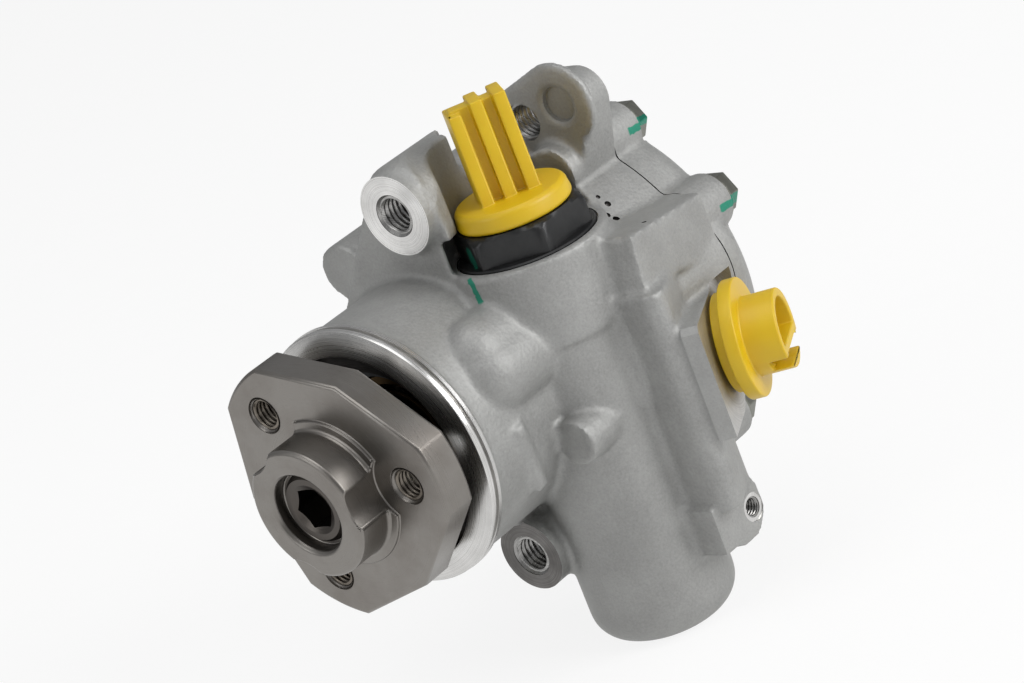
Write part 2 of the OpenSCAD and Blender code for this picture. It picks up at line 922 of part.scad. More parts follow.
module bearing_circlip() {
    r_in = bearing_od / 2 - 2.6;
    r_out = bearing_od / 2 + circlip_groove - 0.1;
    gap_w = 8;
    color("#3f4143")
        difference() {
            ring_y(r_in, r_out, bearing_y - circlip_t, bearing_y);
            translate([-gap_w / 2, bearing_y - circlip_t - 1, -bearing_od])
                cube([gap_w, circlip_t + 2, bearing_od]);
        }
}

module shaft_seal() {
    r = seal_d / 2 - tiny;
    case_t = 1.6;
    floor_t = 2;
    lip_r = journal_r + run_clear;
    lip_t = 2;
    lip_draft = 0.2;
    lip_end = seal_y + seal_w - 1;
    edge = 0.6;
    edge_set = 1.6;
    flare = 0.8;
    color("#2a211c")
        turned()
            polygon([[r, seal_y], [r, seal_y + seal_w], [r - case_t, seal_y + seal_w],
                [r - case_t, seal_y + floor_t], [lip_r + lip_t + lip_draft, seal_y + floor_t],
                [lip_r + lip_t, lip_end], [lip_r + edge, lip_end], [lip_r, lip_end - edge_set],
                [lip_r + flare, seal_y + floor_t / 2], [lip_r + flare, seal_y]]);
}

module shaft_bush() {
    color("#a8824c")
        ring_y(journal_r + run_clear, bush_r - tiny, bush_end - bush_l, bush_end);
}

module cover_bush() {
    color("#a8824c")
        ring_y(tail_r + run_clear, tail_r + bush_wall - tiny, joint_y + bush_set, tail_end);
}

// Kidney port between two radii, centred on an angle
module kidney(r, w, a, half) {
    rotate(a - half)
        rotate_extrude(angle = 2 * half)
            translate([r - w / 2, 0])
                square([w, cam_w]);
}

// Plan of the dowel holes
module dowel_plan(grow) {
    for (s = [-1, 1])
        translate([0, s * (cam_minor_d / 2 + cam_d / 2) / 2])
            circle(dowel_d / 2 + grow, $fn = 32);
}

// Disc of a pressure plate with kidney ports and dowel holes
module plate(r, bore_r, y0, y1) {
    port_set = 2.5;
    port_w = 4;
    port_half = 22;
    difference() {
        ring_y(bore_r, r, y0, y1);
        along_y(y0 - 1, y1 + 1)
            dowel_plan(run_clear);
        translate([0, y0 - 1, 0])
            rotate([-90, 0, 0])
                for (a = [45, 225])
                    kidney(cam_minor_d / 2 - port_set, port_w, a, port_half);
    }
}

module front_plate() {
    shaft_gap = 1;
    groove_t = 2.2;
    groove_w = 2.6;
    groove_y = cavity_y + plate_ring_set - groove_w / 2;
    color("#7b7c7d")
        difference() {
            plate(cavity_d / 2 - run_clear, journal_r + shaft_gap, cavity_y, cam_y);
            ring_y(cavity_d / 2 - groove_t, cavity_d / 2 + 1, groove_y, groove_y + groove_w);
        }
}

module plate_o_ring() {
    color("#1c1c1e")
        turned()
            translate([cavity_d / 2 - plate_ring_r - 0.15, cavity_y + plate_ring_set])
                circle(plate_ring_r, $fn = 24);
}

module rear_plate() {
    color("#7b7c7d")
        plate(cavity_d / 2 - run_clear, spline_r + 2.5, cam_end, joint_y);
}

// Double-lobed inner contour of the cam ring
module cam_contour() {
    lobe_r = cam_minor_d / 2 - rotor_gap;
    circle(cam_minor_d / 2);
    for (s = [-1, 1])
        translate([s * (cam_minor_d / 2 + cam_rise - lobe_r), 0])
            circle(lobe_r);
}

module cam_ring() {
    color("#8f9091")
        along_y(cam_y, cam_end)
            difference() {
                circle(cam_d / 2);
                cam_contour();
                dowel_plan(run_clear);
            }
}

module dowel_pins() {
    color("#b0b1b0")
        along_y(cavity_y, joint_y)
            dowel_plan(0);
}

module rotor() {
    color("#85868a")
        along_y(cam_y + side_clear, cam_end - side_clear)
            difference() {
                circle(rotor_r);
                spline_plan(run_clear);
                for (k = [0:vane_count - 1])
                    rotate(k * 360 / vane_count) {
                        translate([slot_root_r, -vane_t / 2 - slot_clear])
                            square([rotor_r, vane_t + 2 * slot_clear]);
                        translate([slot_root_r, 0])
                            circle(vane_t / 2 + 0.4, $fn = 24);
                    }
            }
}

module rotor_circlip() {
    r_in = clip_groove_r + tiny;
    r_out = spline_r + 1.6;
    play = 0.05;
    gap_w = 6;
    color("#3f4143")
        difference() {
            ring_y(r_in, r_out, clip_y + play, clip_y + clip_w - play);
            translate([-gap_w / 2, cam_end - 1, -2 * spline_r])
                cube([gap_w, clip_w + 2, 2 * spline_r]);
        }
}

module vane(k) {
    color("#6f7073")
        along_y(cam_y + side_clear, cam_end - side_clear)
            rotate(k * 360 / vane_count)
                translate([vane_tip_r - vane_l, -vane_t / 2])
                    square([vane_l, vane_t]);
}

module flow_spool() {
    r = spool_r - run_clear / 2;
    neck_r = r - 2;
    neck_z = spool_bottom + 16;
    neck_l = 8;
    nose_h = 4;
    edge = 0.5;
    color("#8a8b8e")
        translate([valve_at[0], valve_at[1], 0])
            difference() {
                rotate_extrude()
                    polygon([[0, spool_bottom], [r - edge, spool_bottom], [r, spool_bottom + edge],
                        [r, neck_z], [neck_r, neck_z + 1], [neck_r, neck_z + neck_l - 1],
                        [r, neck_z + neck_l], [r, spool_top - nose_h],
                        [neck_r - edge, spool_top], [0, spool_top]]);
                translate([0, 0, spool_bottom - tiny])
                    cylinder(r = relief_r, h = relief_l);
            }
}

module flow_spring() {
    spring_set = 1.9;
    color("#55585c")
        translate([valve_at[0], valve_at[1], 0])
            coil(spool_r - spring_set, spring_wire, spring_turns, bore_floor + tiny, spool_bottom - tiny);
}

module relief_seat() {
    head_h = 2;
    head_r = relief_r + 1.2;
    color("#8d8880")
        translate([valve_at[0], valve_at[1], 0])
            difference() {
                union() {
                    translate([0, 0, spool_bottom])
                        cylinder(r = relief_r - tiny, h = seat_l);
                    translate([0, 0, spool_bottom - head_h])
                        cylinder(r = head_r, h = head_h, $fn = 6);
                }
                translate([0, 0, spool_bottom - head_h - 1])
                    cylinder(r = orifice_r, h = seat_l + head_h + 2);
            }
}

module relief_ball() {
    color("#c8c9c8")
        translate([valve_at[0], valve_at[1], relief_ball_z])
            sphere(relief_ball_r);
}

module relief_guide() {
    r = relief_r - run_clear;
    peg_r = 1.2;
    peg_l = 2;
    color("#8d8880")
        translate([valve_at[0], valve_at[1], guide_z])
            difference() {
                union() {
                    cylinder(r = r, h = guide_t);
                    cylinder(r = peg_r, h = guide_t + peg_l);
                }
                translate([0, 0, relief_ball_z - guide_z])
                    sphere(relief_ball_r + tiny);
            }
}

module relief_spring() {
    mean_r = 2.4;
    wire_d = 0.8;
    turns = 5;
    color("#55585c")
        translate([valve_at[0], valve_at[1], 0])
            coil(mean_r, wire_d, turns, guide_z + guide_t + tiny,
                guide_z + guide_t + relief_spring_l - tiny);
}

module outlet_union() {
    stem_r = spool_r - stem_set;
    hex_r = union_af / 2 / cos(30);
    top_edge = 1.4;
    throat_r = 2.5;
    color("#26272a")
        translate([valve_at[0], valve_at[1], 0])
            difference() {
                union() {
                    intersection() {
                        translate([0, 0, valve_top])
                            rotate(30)
                                cylinder(d = union_af / cos(30), h = union_h, $fn = 6);
                        translate([0, 0, valve_top])
                            rotate_extrude()
                                polygon([[0, 0], [hex_r, 0], [hex_r, union_h - top_edge],
                                    [union_af / 2, union_h], [0, union_h]]);
                    }
                    translate([0, 0, valve_top])
                        cylinder(d = union_flange_d, h = union_flange_t);
                    translate([0, 0, valve_top - union_thread_l + washer_t])
                        cylinder(d = union_thread_d - 2 * tiny, h = union_thread_l);
                    translate([0, 0, union_stem_end])
                        cylinder(r = stem_r, h = valve_top - union_stem_end);
                }
                translate([0, 0, union_top - outlet_depth])
                    cylinder(d = outlet_d, h = outlet_depth + tiny);
                translate([0, 0, union_stem_end - tiny])
                    cylinder(r = throat_r, h = union_top);
            }
}

module union_washer() {
    color("#b07a4a")
        translate([valve_at[0], valve_at[1], valve_top - union_thread_l])
            difference() {
                cylinder(r = union_thread_d / 2 - tiny, h = washer_t - tiny);
                translate([0, 0, -1])
                    cylinder(r = spool_r - stem_set + 0.1, h = washer_t + 2);
            }
}

module outlet_cap() {
    grip_w = 15;
    grip_d = 11;
    rib = 3.2;
    web = 5;
    step = 0.8;
    grip_turn = 51;
    low_edge = 0.6;
    draft = 0.5;
    top_edge = 1;
    color("#e6b91e")
        translate([valve_at[0], valve_at[1], cap_z]) {
            translate([0, 0, -cap_stem_l])
                cylinder(d = outlet_d - 2 * run_clear, h = cap_stem_l + tiny);
            rotate_extrude()
                polygon([[0, 0], [cap_d / 2 - low_edge, 0], [cap_d / 2, step],
                    [cap_d / 2 - draft, cap_t - top_edge],
                    [cap_d / 2 - low_edge - step, cap_t], [0, cap_t]]);
            rotate(grip_turn) {
                for (s = [-1, 1])
                    translate([s * (grip_w - rib) / 2 - rib / 2, -grip_d / 2, cap_t - tiny])
                        cube([rib, grip_d, grip_h - step + s * step]);
                translate([-grip_w / 2 + step, -web / 2, cap_t - tiny])
                    cube([grip_w - 2 * step, web, grip_h - step]);
                translate([-rib / 2, -grip_d / 2 + step / 2, cap_t - tiny])
                    cube([rib, grip_d - step, grip_h]);
            }
        }
}

module inlet_plug() {
    hub_r = 10;
    wall = 2.2;
    slot_w = 3.2;
    lip_gap = 0.8;
    lip_set = 2.5;
    bridge_y = -4.1;
    slot_y = -7.7;
    floor_t = 2;
    pocket_l = hub_l - floor_t;
    color("#e6b91e")
        on_side(inlet_at, inlet_turn)
            translate([0, 0, plug_stand]) {
                translate([0, 0, -plug_stand - plug_stem_l])
                    cylinder(d = inlet_d - 2 * run_clear, h = plug_stem_l + plug_stand + tiny);
                cylinder(d = plug_d, h = plug_t);
                translate([0, 0, lip_gap - plug_stand])
                    cylinder(d = plug_d - 2 * lip_set, h = plug_stand);
                difference() {
                    translate([0, 0, plug_t - tiny])
                        cylinder(r = hub_r, h = hub_l);
                    translate([0, 0, plug_t + hub_l - pocket_l])
                        linear_extrude(pocket_l + 1)
                            difference() {
                                circle(hub_r - wall);
                                translate([-hub_r, bridge_y])
                                    square([2 * hub_r, wall]);
                            }
                    translate([-hub_r - 1, slot_y, plug_t + hub_l - pocket_l + floor_t])
                        cube([2 * hub_r + 2, slot_w, pocket_l]);
                }
            }
}

pump_body();
rear_cover();
cover_bolts();
cover_o_ring();
drive_flange();
drive_shaft();
bearing_outer_ring();
bearing_inner_ring();
bearing_balls();
bearing_cage();
bearing_circlip();
shaft_seal();
shaft_bush();
cover_bush();
front_plate();
plate_o_ring();
cam_ring();
rotor();
rotor_circlip();
rear_plate();
dowel_pins();
flow_spool();
flow_spring();
relief_seat();
relief_ball();
relief_guide();
relief_spring();
outlet_union();
union_washer();
outlet_cap();
inlet_plug();
for (i = [0:vane_count - 1])
    vane(i);
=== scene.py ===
import math

import bmesh
import bpy
import numpy as np
from mathutils import Matrix, Vector


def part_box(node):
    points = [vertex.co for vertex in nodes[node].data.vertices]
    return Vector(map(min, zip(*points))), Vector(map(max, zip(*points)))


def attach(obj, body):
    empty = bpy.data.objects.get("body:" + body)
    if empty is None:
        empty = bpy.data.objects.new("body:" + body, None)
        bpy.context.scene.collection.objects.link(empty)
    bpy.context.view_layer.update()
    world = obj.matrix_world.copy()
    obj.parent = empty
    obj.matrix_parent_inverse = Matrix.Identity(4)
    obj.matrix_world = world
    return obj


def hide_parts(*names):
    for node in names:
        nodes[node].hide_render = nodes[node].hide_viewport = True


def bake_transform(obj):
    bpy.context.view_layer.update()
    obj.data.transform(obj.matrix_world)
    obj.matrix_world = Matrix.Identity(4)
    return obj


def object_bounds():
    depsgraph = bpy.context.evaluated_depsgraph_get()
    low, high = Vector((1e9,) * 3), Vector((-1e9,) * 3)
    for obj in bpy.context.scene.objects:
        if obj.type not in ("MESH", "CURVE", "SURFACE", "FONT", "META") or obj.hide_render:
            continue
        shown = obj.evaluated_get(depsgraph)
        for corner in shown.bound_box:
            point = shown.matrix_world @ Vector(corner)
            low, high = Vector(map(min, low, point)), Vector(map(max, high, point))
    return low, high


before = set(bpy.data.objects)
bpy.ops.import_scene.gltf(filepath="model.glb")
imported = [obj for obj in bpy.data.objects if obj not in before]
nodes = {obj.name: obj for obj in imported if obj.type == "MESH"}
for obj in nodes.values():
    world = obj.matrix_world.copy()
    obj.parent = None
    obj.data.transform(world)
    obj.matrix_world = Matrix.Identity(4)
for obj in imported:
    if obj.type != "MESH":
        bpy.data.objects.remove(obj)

MM = 0.001
cad_box = [list(corner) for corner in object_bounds()]
scene = bpy.context.scene


# Floor, room and camera: a sheet of white paper under the pump, three softboxes and a pale
# room around them, seen from the photograph's own place.
def linear(colour):
    """Linear red, green, blue and alpha of an sRGB hex colour."""
    parts = [int(colour[i:i + 2], 16) / 255 for i in (1, 3, 5)]
    return tuple(c / 12.92 if c <= 0.04045 else ((c + 0.055) / 1.055) ** 2.4 for c in parts) + (1.0,)


def add(tree, kind, inputs=None, **settings):
    """Adds a shader node. Inputs go by a socket's name or place and take a value or another socket."""
    node = tree.nodes.new(kind)
    for name, value in settings.items():
        setattr(node, name, value)
    for key, value in (inputs or {}).items():
        if isinstance(value, bpy.types.NodeSocket):
            tree.links.new(value, node.inputs[key])
        else:
            node.inputs[key].default_value = value
    return node


def material(name):
    """A new material and its empty node tree."""
    made = bpy.data.materials.new(name)
    made.use_nodes = True
    made.node_tree.nodes.clear()
    return made, made.node_tree


scene.view_settings.view_transform = "Standard"

room_low, room_high = 0.24, 0.46
world = bpy.data.worlds.new("pale_room")
scene.world = world
world.use_nodes = True
tree = world.node_tree
tree.nodes.clear()
direction = add(tree, "ShaderNodeTexCoord")
height = add(tree, "ShaderNodeSeparateXYZ", {0: direction.outputs["Generated"]})
rise = add(tree, "ShaderNodeMapRange",
           {0: height.outputs["Z"], 1: -0.4, 2: 1.0, 3: room_low, 4: room_high})
room = add(tree, "ShaderNodeBackground", {"Color": linear("#F7F8FA"), "Strength": rise.outputs[0]})
add(tree, "ShaderNodeOutputWorld", {0: room.outputs[0]})

floor_reach, floor_z = 6.0, cad_box[0][2]
floor_corners = [(x * floor_reach, y * floor_reach, floor_z)
                 for x, y in ((-1, -1), (1, -1), (1, 1), (-1, 1))]
floor_mesh = bpy.data.meshes.new("paper_floor")
floor_mesh.from_pydata(floor_corners, [], [(0, 1, 2, 3)])
floor = bpy.data.objects.new("paper_floor", floor_mesh)
scene.collection.objects.link(floor)

# Matt white paper: even and bright to the eye, with the pump's soft shadow left on it.
white_share, fibres_per_m = 0.85, 900.0
paper, tree = material("matt_white_paper")
path = add(tree, "ShaderNodeLightPath")
seen = add(tree, "ShaderNodeMath", {0: path.outputs["Is Camera Ray"], 1: path.outputs["Is Glossy Ray"]},
           operation="MAXIMUM")
seen = add(tree, "ShaderNodeMath", {0: seen.outputs[0], 1: path.outputs["Is Transmission Ray"]},
           operation="MAXIMUM")
share = add(tree, "ShaderNodeMath", {0: seen.outputs[0], 1: white_share}, operation="MULTIPLY")
fibre = add(tree, "ShaderNodeTexNoise", {"Scale": fibres_per_m, "Detail": 3.0})
tint = add(tree, "ShaderNodeMix", {0: fibre.outputs[0], 6: linear("#F2F2F1"), 7: linear("#F8F8F7")},
           data_type="RGBA")
matt = add(tree, "ShaderNodeBsdfDiffuse", {"Color": tint.outputs[2]})
white = add(tree, "ShaderNodeEmission", {"Color": (1.0, 1.0, 1.0, 1.0), "Strength": 1.0})
both = add(tree, "ShaderNodeMixShader", {0: share.outputs[0], 1: matt.outputs[0], 2: white.outputs[0]})
add(tree, "ShaderNodeOutputMaterial", {0: both.outputs[0]})
floor_mesh.materials.append(paper)

pump_middle = Vector((0.010, 0.055, -0.002))
for name, place, size, watts in (
        ("softbox_right", (1.20, 0.42, 0.60), 0.8, 12.5),
        ("softbox_left", (-0.35, -1.30, 0.70), 0.8, 4.0),
        ("softbox_top", (0.20, -0.05, 1.40), 0.9, 5.0)):
    lamp = bpy.data.lights.new(name, "AREA")
    lamp.size = size
    lamp.energy = watts
    lamp_object = bpy.data.objects.new(name, lamp)
    lamp_object.location = place
    lamp_object.rotation_euler = (pump_middle - Vector(place)).to_track_quat("-Z", "Y").to_euler()
    scene.collection.objects.link(lamp_object)

camera_place = Vector((0.55987567, -0.45103225, 0.25909724))
camera_right = Vector((0.71964365, 0.60046884, -0.3486405))
camera_up = Vector((0.03460415, 0.47047517, 0.88173446))
camera_data = bpy.data.cameras.new("camera")
camera_data.lens = 113.135
camera_data.sensor_width = 36.0
camera_data.clip_start = 0.05
camera = bpy.data.objects.new("camera", camera_data)
scene.collection.objects.link(camera)
stand = Matrix((camera_right, camera_up, camera_right.cross(camera_up))).transposed().to_4x4()
stand.translation = camera_place
camera.matrix_world = stand
scene.camera = camera


# Pump body: one aluminium casting, shot-blasted, then turned on the spigot and bores and
# faced on the bosses, the inlet pad and the joint. The casting is drawn with stock on those
# faces, its edges are rounded as a mould leaves them, and the tools then cut the crisp ones.
def put(name, mesh, mat=None):
    """Adds an object with this mesh to the scene."""
    made = bpy.data.objects.new(name, mesh)
    scene.collection.objects.link(made)
    if mat:
        mesh.materials.append(mat)
    return made


def solid(name, turn, rings, mat=None, closed=False):
    """Closed mesh through rings of points of equal count, in millimetres, placed by a matrix.

    The first and the last ring get an end face each or, in a closed set, are joined to each other.
    """
    count = len(rings[0])
    points = [turn @ Vector(p) * MM for ring in rings for p in ring]
    faces = []
    for i in range(len(rings) if closed else len(rings) - 1):
        n = (i + 1) % len(rings)
        for k in range(count):
            j = (k + 1) % count
            faces.append((i * count + k, i * count + j, n * count + j, n * count + k))
    if not closed:
        faces.append(tuple(range(count - 1, -1, -1)))
        faces.append(tuple((len(rings) - 1) * count + k for k in range(count)))
    mesh = bpy.data.meshes.new(name)
    mesh.from_pydata(points, [], faces)
    mesh.validate()
    bm = bmesh.new()
    bm.from_mesh(mesh)
    bmesh.ops.recalc_face_normals(bm, faces=bm.faces)
    bm.to_mesh(mesh)
    bm.free()
    return put(name, mesh, mat)


def on_circle(r, sides):
    """Points on a circle about the origin."""
    turns = [2 * math.pi * k / sides for k in range(sides)]
    return [(r * math.cos(t), r * math.sin(t)) for t in turns]


def polar(r, degrees):
    """The point at a radius and an angle in degrees."""
    return r * math.cos(math.radians(degrees)), r * math.sin(math.radians(degrees))


def turned(name, turn, profile, mat=None, sides=96):
    """A turned form about local Z from (radius, height) pairs."""
    return solid(name, turn, [[(x, y, h) for x, y in on_circle(r, sides)] for r, h in profile], mat)


def rod(name, turn, r, low, high, mat=None, sides=96):
    """A round bar along local Z."""
    return turned(name, turn, [(r, low), (r, high)], mat, sides)


def prism(name, turn, outline, low, high, mat=None):
    """An outline in local X and Y, drawn out along local Z."""
    return solid(name, turn, [[(x, y, h) for x, y in outline] for h in (low, high)], mat)


def about_y(x=0.0, z=0.0):
    """Local Z becomes world Y and local Y points down, at a place in X and Z."""
    return Matrix.Translation((x, 0, z)) @ Matrix.Rotation(-math.pi / 2, 4, "X")


def on_side(at, degrees):
    """Local X along the face, local Y up, local Z out of the face."""
    return Matrix.Translation(at) @ Matrix.Rotation(math.radians(degrees), 4, "Z") @ Matrix(
        ((0, 0, 1, 0), (1, 0, 0, 0), (0, 1, 0, 0), (0, 0, 0, 1)))


def settle(made):
    """Turns an object's modifiers into its own mesh."""
    graph = bpy.context.evaluated_depsgraph_get()
    shown = bpy.data.meshes.new_from_object(made.evaluated_get(graph))
    made.modifiers.clear()
    old = made.data
    made.data = shown
    bpy.data.meshes.remove(old)


def merged(name, parts):
    """One mesh from copies of several, with the parts left out of the scene."""
    bm = bmesh.new()
    for part in parts:
        bm.from_mesh(part.data if isinstance(part, bpy.types.Object) else part)
    mesh = bpy.data.meshes.new(name)
    bm.to_mesh(mesh)
    bm.free()
    for part in parts:
        if isinstance(part, bpy.types.Object):
            bpy.data.objects.remove(part)
    return mesh


def slice_of(node, low, high, shift):
    """The stretch of a node's mesh between two places along the shaft, moved along it."""
    bm = bmesh.new()
    bm.from_mesh(nodes[node].data)
    bmesh.ops.remove_doubles(bm, verts=bm.verts, dist=1e-6)
    for place, keep in ((low, 1), (high, -1)):
        cut = bmesh.ops.bisect_plane(bm, geom=bm.verts[:] + bm.edges[:] + bm.faces[:],
                                     plane_co=(0, place * MM, 0), plane_no=(0, -keep, 0), clear_outer=True)
        edges = [e for e in cut["geom_cut"] if isinstance(e, bmesh.types.BMEdge)]
        bmesh.ops.triangle_fill(bm, edges=edges, use_beauty=True)
    bmesh.ops.translate(bm, verts=bm.verts, vec=(0, shift * MM, 0))
    mesh = bpy.data.meshes.new("slice")
    bm.to_mesh(mesh)
    bm.free()
    return mesh


def machine(made, adds, cuts):
    """Joins forms to a piece and cuts tools out of it; a cut face takes the tool's finish."""
    for kind, tools in (("UNION", adds), ("DIFFERENCE", cuts)):
        for tool in tools:
            step = made.modifiers.new(tool.name, "BOOLEAN")
            step.operation = kind
            step.solver = "MANIFOLD"
            step.object = tool
            step.material_mode = "TRANSFER"
            settle(made)
            bpy.data.objects.remove(tool)
    made.data.shade_smooth()
    made.data.set_sharp_from_angle(angle=math.radians(34))


def cast(name, parts, rooms, voxel, passes, most_faces, mat):
    """A casting: the parts grown together, less its rooms, with the soft edges of a mould."""
    made = put(name, merged(name, parts))
    for tools in ([], rooms):
        machine(made, [], tools)
        grown = made.modifiers.new("grown", "REMESH")
        grown.mode = "VOXEL"
        grown.voxel_size = voxel * MM
        grown.use_smooth_shade = True
        settle(made)
    soft = made.modifiers.new("soft", "SMOOTH")
    soft.factor = 0.5
    soft.iterations = passes
    settle(made)
    triangles = sum(len(p.vertices) - 2 for p in made.data.polygons)
    if triangles > most_faces:
        fewer = made.modifiers.new("fewer", "DECIMATE")
        fewer.ratio = most_faces / triangles
        settle(made)
    made.data.materials.clear()
    made.data.materials.append(mat)
    return made


def painted(tree, place, base, strokes):
    """A base colour under strokes of teal marking paint with ragged edges.

    A stroke is its middle, the direction across it, its half width and its reach, in millimetres.
    """
    ragged_by, side_fade, end_fade = 0.8, 0.2, 0.5
    for middle, across, half, reach in strokes:
        limit = half + ragged_by / 2
        ragged = add(tree, "ShaderNodeTexNoise",
                     {"Vector": place.outputs["Object"], "Scale": 900.0, "Detail": 2.0})
        local = add(tree, "ShaderNodeVectorMath",
                    {0: place.outputs["Object"], 1: [c * MM for c in middle]}, operation="SUBTRACT")
        side = add(tree, "ShaderNodeVectorMath", {0: local.outputs[0], 1: across}, operation="DOT_PRODUCT")
        off = add(tree, "ShaderNodeMath", {0: side.outputs["Value"]}, operation="ABSOLUTE")
        off = add(tree, "ShaderNodeMath", {0: ragged.outputs[0], 1: ragged_by * MM, 2: off.outputs[0]},
                  operation="MULTIPLY_ADD")
        band = add(tree, "ShaderNodeMapRange",
                   {0: off.outputs[0], 1: limit * MM, 2: (limit - side_fade) * MM})
        far = add(tree, "ShaderNodeVectorMath", {0: local.outputs[0]}, operation="LENGTH")
        end = add(tree, "ShaderNodeMapRange",
                  {0: far.outputs["Value"], 1: reach * MM, 2: (reach - end_fade) * MM})
        mask = add(tree, "ShaderNodeMath", {0: band.outputs[0], 1: end.outputs[0]}, operation="MULTIPLY")
        coat = add(tree, "ShaderNodeMix", {0: mask.outputs[0], 6: base, 7: linear("#2F8C74")},
                   data_type="RGBA")
        base = coat.outputs[2]
    return base


# Shot-blasted die-cast aluminium: an even, matt mid grey with a fine grain of blasting
# dents, faint cloudy patches, edges painted a little paler as partly rubbed wear and partly a
# painted highlight, and three strokes of marking paint. Clouds are about 14 mm wide, grit 0.7 mm and dents
# 1.1 mm.
clouds_per_m, grit_per_m, dents_per_m = 70.0, 1500.0, 900.0
across_stripe = (0.33, -0.10, -0.93)
body_strokes = (((24.1, 43.4, 29.9), (0.659, 0.747, 0.082), 0.7, 3.6),
                ((29.2, 110.0, 40.9), across_stripe, 1.0, 3.5),
                ((49.5, 109.5, 18.3), across_stripe, 1.0, 3.5))
cast_aluminium, tree = material("cast_aluminium_shot_blasted")
place = add(tree, "ShaderNodeTexCoord")
cloud = add(tree, "ShaderNodeTexNoise",
            {"Vector": place.outputs["Object"], "Scale": clouds_per_m, "Detail": 4.0, "Roughness": 0.6})
grit = add(tree, "ShaderNodeTexNoise",
           {"Vector": place.outputs["Object"], "Scale": grit_per_m, "Detail": 3.0, "Roughness": 0.7})
dents = add(tree, "ShaderNodeTexVoronoi", {"Vector": place.outputs["Object"], "Scale": dents_per_m})
tone = add(tree, "ShaderNodeValToRGB", {0: cloud.outputs[0]})
dull, clean = tone.color_ramp.elements
dull.position, dull.color = 0.35, linear("#9A9A98")
clean.position, clean.color = 0.68, linear("#A6A6A4")
speckle = add(tree, "ShaderNodeMapRange", {0: grit.outputs[0], 1: 0.3, 2: 0.7, 3: 0.86, 4: 1.10})
skin = add(tree, "ShaderNodeVectorMath", {0: tone.outputs[0], 3: speckle.outputs[0]}, operation="SCALE")
shape = add(tree, "ShaderNodeNewGeometry")
# Convex edges painted paler: partly rubbed wear, partly a painted highlight along the edges.
edge = add(tree, "ShaderNodeMapRange", {0: shape.outputs["Pointiness"], 1: 0.52, 2: 0.60, 3: 0.0, 4: 0.12})
rubbed_and_highlight = add(tree, "ShaderNodeMix", {0: edge.outputs[0], 6: skin.outputs[0], 7: linear("#C9C9C7")},
             data_type="RGBA")
sheen = add(tree, "ShaderNodeMapRange", {0: grit.outputs[0], 1: 0.3, 2: 0.7, 3: 0.50, 4: 0.66})
relief = add(tree, "ShaderNodeMath", {0: grit.outputs[0], 1: dents.outputs["Distance"]}, operation="ADD")
bump = add(tree, "ShaderNodeBump", {"Strength": 0.35, "Distance": 0.2 * MM, "Height": relief.outputs[0]})
metal = add(tree, "ShaderNodeBsdfPrincipled",
            {"Base Color": painted(tree, place, rubbed_and_highlight.outputs[2], body_strokes), "Metallic": 0.55,
             "Roughness": sheen.outputs[0], "Normal": bump.outputs[0]})
add(tree, "ShaderNodeOutputMaterial", {0: metal.outputs[0]})


def machined_aluminium(name, centre, axis, colour_low, colour_high, rough, pitch):
    """Cut aluminium with fine tool rings about the axis it was turned on, a pitch apart in mm."""
    made, tree = material(name)
    place = add(tree, "ShaderNodeTexCoord")
    local = add(tree, "ShaderNodeVectorMath",
                {0: place.outputs["Object"], 1: [c * MM for c in centre]}, operation="SUBTRACT")
    across = add(tree, "ShaderNodeVectorMath", {0: local.outputs[0], 1: axis}, operation="CROSS_PRODUCT")
    radius = add(tree, "ShaderNodeVectorMath", {0: across.outputs[0]}, operation="LENGTH")
    along = add(tree, "ShaderNodeVectorMath", {0: local.outputs[0], 1: axis}, operation="DOT_PRODUCT")
    feed = add(tree, "ShaderNodeMath", {0: radius.outputs["Value"], 1: along.outputs["Value"]},
               operation="ADD")
    drift = add(tree, "ShaderNodeTexNoise",
                {"Vector": place.outputs["Object"], "Scale": 160.0, "Detail": 3.0})
    phase = add(tree, "ShaderNodeMath", {0: feed.outputs[0], 1: 1 / MM / pitch}, operation="MULTIPLY")
    rings = add(tree, "ShaderNodeTexNoise", {"W": phase.outputs[0], "Scale": 1.0, "Detail": 2.0},
                noise_dimensions="1D")
    blend = add(tree, "ShaderNodeMath", {0: rings.outputs[0], 1: drift.outputs[0]}, operation="MULTIPLY")
    tint = add(tree, "ShaderNodeMapRange", {0: blend.outputs[0], 1: 0.12, 2: 0.42})
    tone = add(tree, "ShaderNodeMix", {0: tint.outputs[0], 6: linear(colour_low), 7: linear(colour_high)},
               data_type="RGBA")
    gloss = add(tree, "ShaderNodeMapRange",
                {0: rings.outputs[0], 1: 0.25, 2: 0.75, 3: rough - 0.04, 4: rough + 0.05})
    bump = add(tree, "ShaderNodeBump", {"Strength": 0.05, "Distance": 0.1 * MM, "Height": rings.outputs[0]})
    metal = add(tree, "ShaderNodeBsdfPrincipled", {"Base Color": tone.outputs[2], "Metallic": 1.0,
                "Roughness": gloss.outputs[0], "Normal": bump.outputs[0]})
    add(tree, "ShaderNodeOutputMaterial", {0: metal.outputs[0]})
    return made


# Places of the casting in millimetres: along Y for the shaft, X and Z for what runs along it,
# X and Y for the upright valve bore.
joint, boss_face, neck_front = 100.0, 42.0, 19.6
upper, lower, valve = (9.0, 51.5), (9.0, -42.5), (26.0, 63.6)
ear_hole, dimple = (14.8, 54.0), (27.4, 57.4)
pad_at, pad_degrees, lug_at = (55.5, 84.4, -7.4), 28, (54, 75.6, -48)
in_place, on_valve = Matrix.Identity(4), Matrix.Translation((*valve, 0))
pad_turn, lug_turn = on_side(pad_at, pad_degrees), on_side(lug_at, 0)
bolt_circle_r, bolt_degrees = 46.2, (24.4, 62, 139, 215, 300)
bolt_places = [polar(bolt_circle_r, a) for a in bolt_degrees]
shaft_axis, valve_axis, pad_axis = (0, 1, 0), (0, 0, 1), (0.8829, 0.4695, 0)

